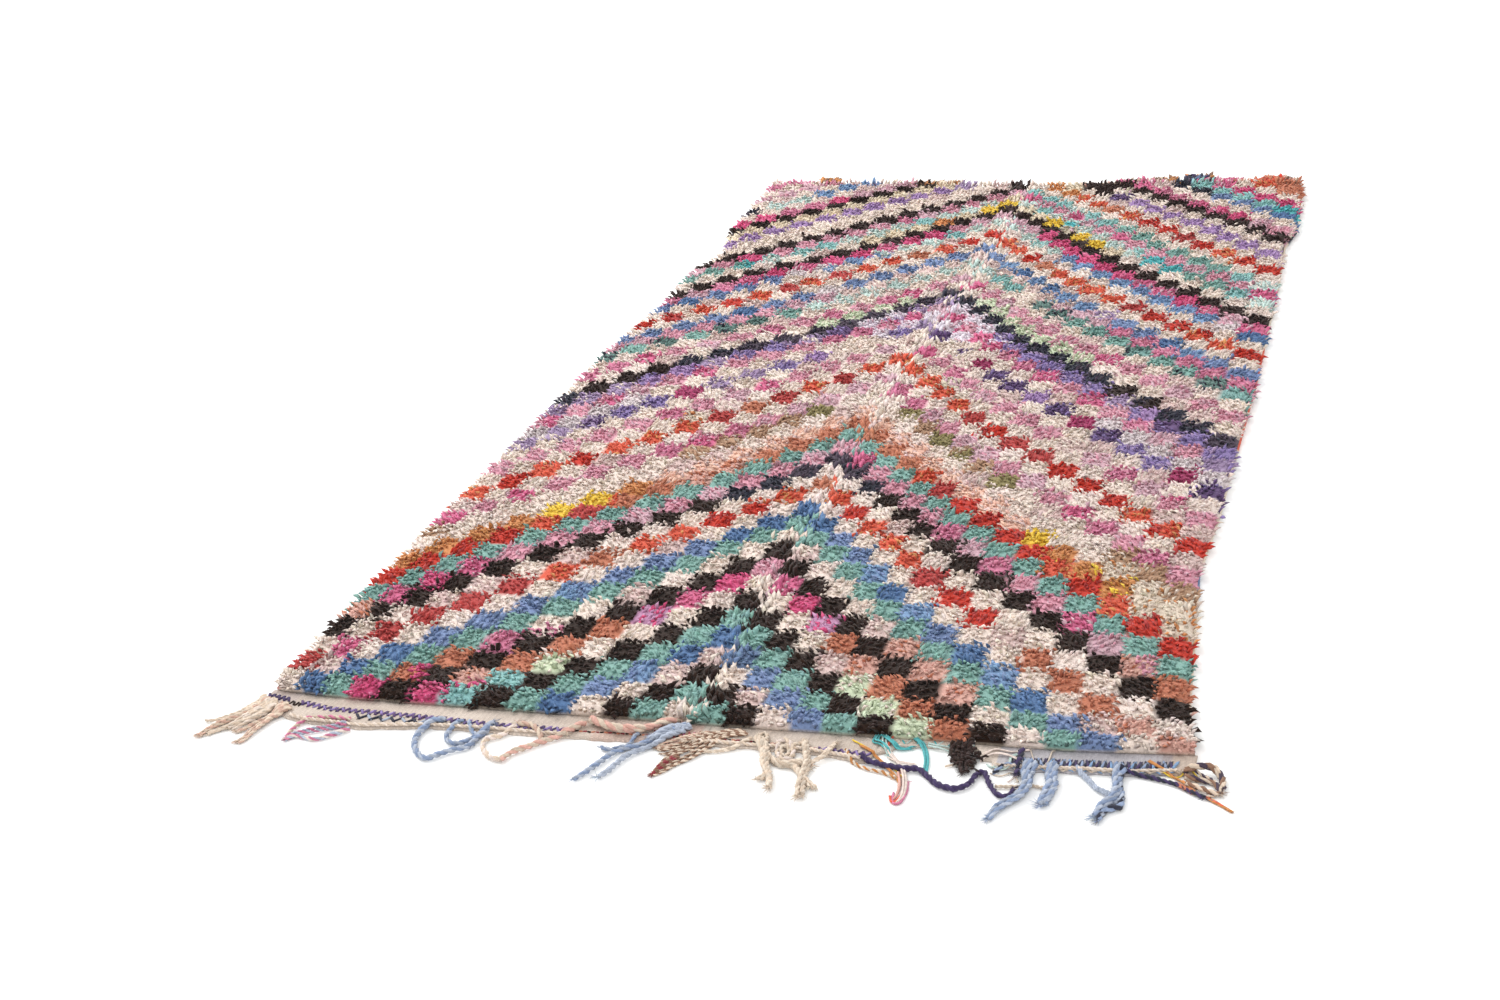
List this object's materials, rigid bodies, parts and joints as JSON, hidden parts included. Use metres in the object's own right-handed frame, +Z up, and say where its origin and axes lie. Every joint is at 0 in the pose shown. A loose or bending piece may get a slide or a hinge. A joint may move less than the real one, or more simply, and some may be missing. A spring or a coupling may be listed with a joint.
{
  "type": "boucherouite rug",
  "caption": "Flat hand-knotted rag-pile rug with a lumpy shaggy field in stepped chevrons of coloured blocks, a flat-woven near hem with loose fringe, and a short far hem.",
  "frame": {"origin": "centre of the field's flat underside, on the floor", "axes": "+X across the rug, +Y along its length away from the fringed near end, +Z up out of the pile"},
  "size_m": [1.4084, 2.8307, 0.028],
  "materials": {
    "pile": "matte",
    "hem_yarn": "matte",
    "far_hem_yarn": "matte"
  },
  "bodies": {
    "root": {"rug_field": "pile", "near_fringe": "hem_yarn", "far_fringe": "far_hem_yarn"}
  },
  "joints": []
}
